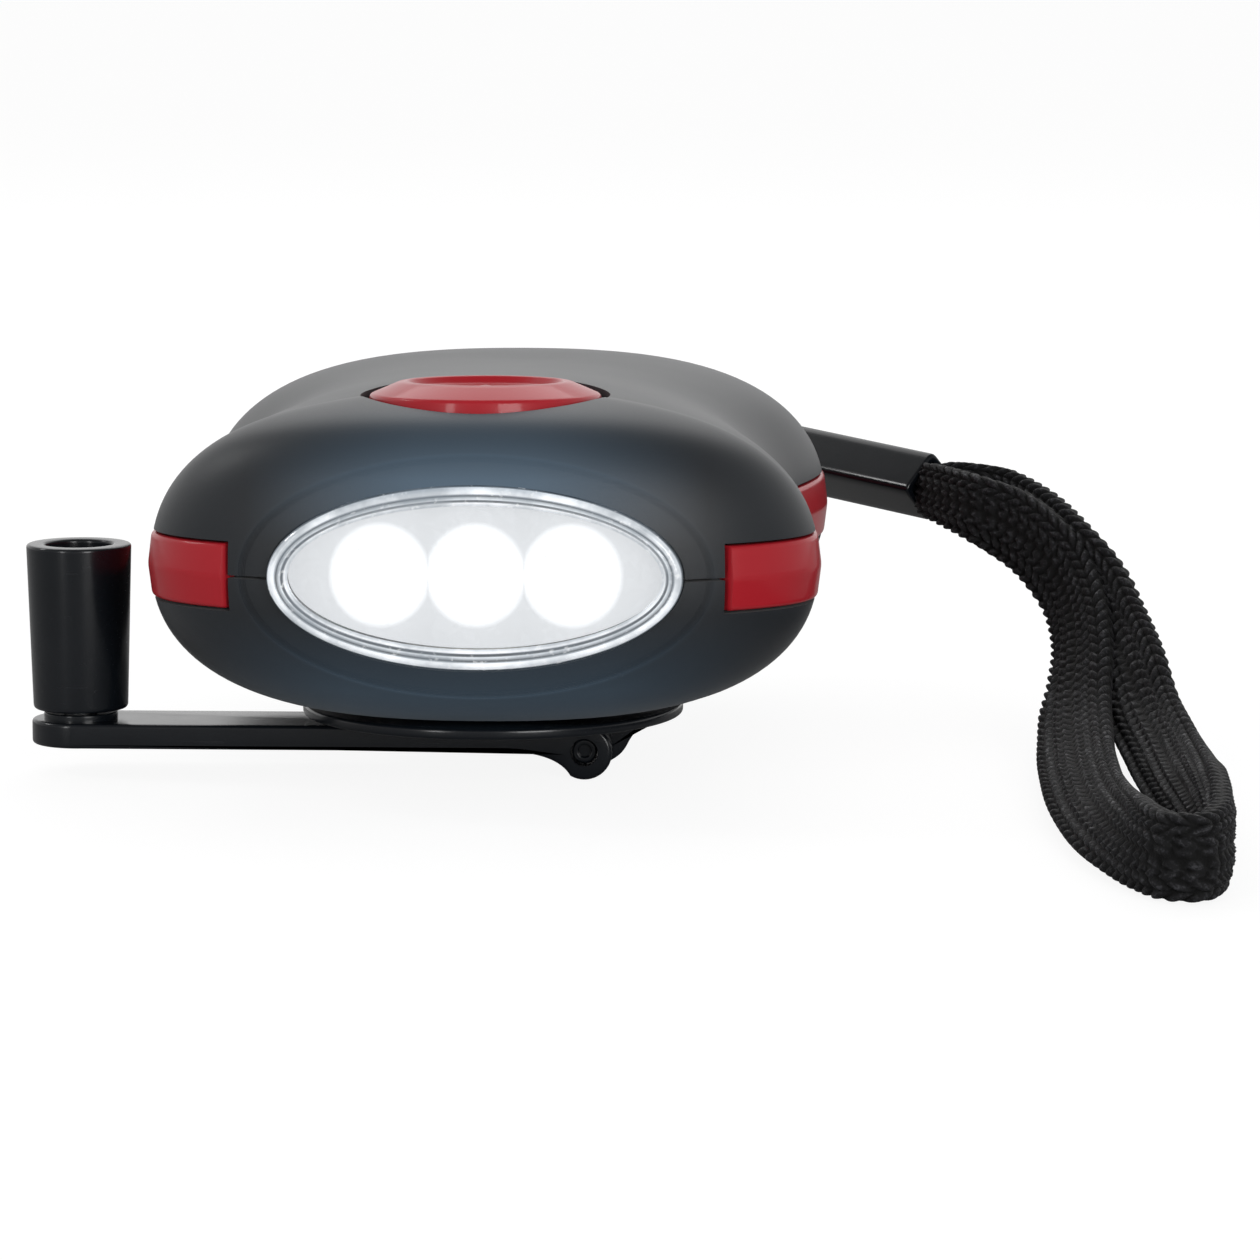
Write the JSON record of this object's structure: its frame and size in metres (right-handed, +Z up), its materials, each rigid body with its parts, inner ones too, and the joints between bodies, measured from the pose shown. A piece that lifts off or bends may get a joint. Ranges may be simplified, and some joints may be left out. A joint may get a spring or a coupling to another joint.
{
  "type": "hand crank flashlight",
  "caption": "Palm-sized flashlight with an oval lamp window, a round push button on top, a fold-out generator crank underneath and a flat woven wrist strap.",
  "frame": {"origin": "middle of the footprint of the housing and the folded crank, at the lowest point of the crank hinge", "axes": "+Y from the lamp window to the strap end, +Z up from the crank to the push button, the folded crank lies towards -X"},
  "size_m": [0.1079, 0.1359, 0.0373],
  "materials": {
    "soft_black": "matte soft-touch",
    "gloss_red": "gloss",
    "gloss_black": "gloss",
    "matte_black": "matte",
    "clear": "clear gloss",
    "lamp_white": "gloss",
    "silver_white": "metallised",
    "steel": "bright",
    "board_green": "satin",
    "natural_plastic": "satin",
    "magnet_grey": "satin",
    "copper": "satin",
    "cell_green": "gloss",
    "strap_black": "woven"
  },
  "bodies": {
    "housing": {"upper_shell": "soft_black", "lower_shell": "soft_black", "side_band_left": "gloss_red", "side_band_right": "gloss_red", "lens": "clear", "reflector": "silver_white", "led_left": "lamp_white", "led_centre": "lamp_white", "led_right": "lamp_white", "led_board": "board_green", "switch_body": "matte_black", "main_board": "board_green", "case_screw_front_left": "steel", "case_screw_front_right": "steel", "case_screw_rear_left": "steel", "case_screw_rear_right": "steel", "gear_plate": "matte_black", "first_axle": "steel", "second_axle": "steel", "stator_core": "magnet_grey", "stator_coil": "copper", "battery_cell_front": "cell_green", "battery_cell_middle": "cell_green", "battery_cell_rear": "cell_green", "strap_anchor_pin": "steel", "strap_loop": "strap_black", "strap_sleeve": "matte_black", "wrist_strap": "strap_black"},
    "button": {"power_button": "gloss_red", "switch_plunger": "matte_black"},
    "crank": {"crank_hub": "gloss_black", "drive_gear": "natural_plastic", "hub_screw": "steel", "hinge_pin": "steel"},
    "arm": {"crank_arm": "gloss_black", "knob_screw": "steel"},
    "knob": {"crank_knob": "gloss_black"},
    "first_gear_body": {"first_gear": "natural_plastic"},
    "second_gear_body": {"second_gear": "natural_plastic"},
    "rotor": {"rotor_pinion": "natural_plastic", "rotor_shaft": "steel", "rotor_magnet": "magnet_grey"}
  },
  "joints": [
    {"name": "crank_spin", "type": "hinge", "parent": "housing", "child": "crank", "pos_m": [0.00632, -0.01977, 0], "axis": [0, 0, 1], "range_deg": [-30, 210]},
    {"name": "arm_fold", "type": "hinge", "parent": "crank", "child": "arm", "pos_m": [0.01491, -0.01977, 0.00255], "axis": [0, -1, 0], "range_deg": [0, 175]},
    {"name": "knob_spin", "type": "hinge", "parent": "arm", "child": "knob", "pos_m": [-0.03188, -0.01977, 0], "axis": [0, 0, 1], "continuous": true},
    {"name": "button_press", "type": "slide", "parent": "housing", "child": "button", "axis": [0, 0, -1], "range_m": [0, 0.0012], "stiffness_N_per_m": 800},
    {"name": "first_gear_spin", "type": "hinge", "parent": "housing", "child": "first_gear_body", "pos_m": [0.00053, 0.00042, 0], "axis": [0, 0, 1], "range_deg": [-680, 100]},
    {"name": "second_gear_spin", "type": "hinge", "parent": "housing", "child": "second_gear_body", "pos_m": [0.01465, 0.00793, 0], "axis": [0, 0, 1], "range_deg": [-300, 2030]},
    {"name": "rotor_spin", "type": "hinge", "parent": "housing", "child": "rotor", "pos_m": [0.01356, 0.02048, 0], "axis": [0, 0, 1], "range_deg": [-5260, 760]}
  ],
  "couplings": [
    {"joint": "first_gear_spin", "follows": "crank_spin", "ratio": -3.2},
    {"joint": "second_gear_spin", "follows": "crank_spin", "ratio": 9.6},
    {"joint": "rotor_spin", "follows": "crank_spin", "ratio": -24.96}
  ]
}
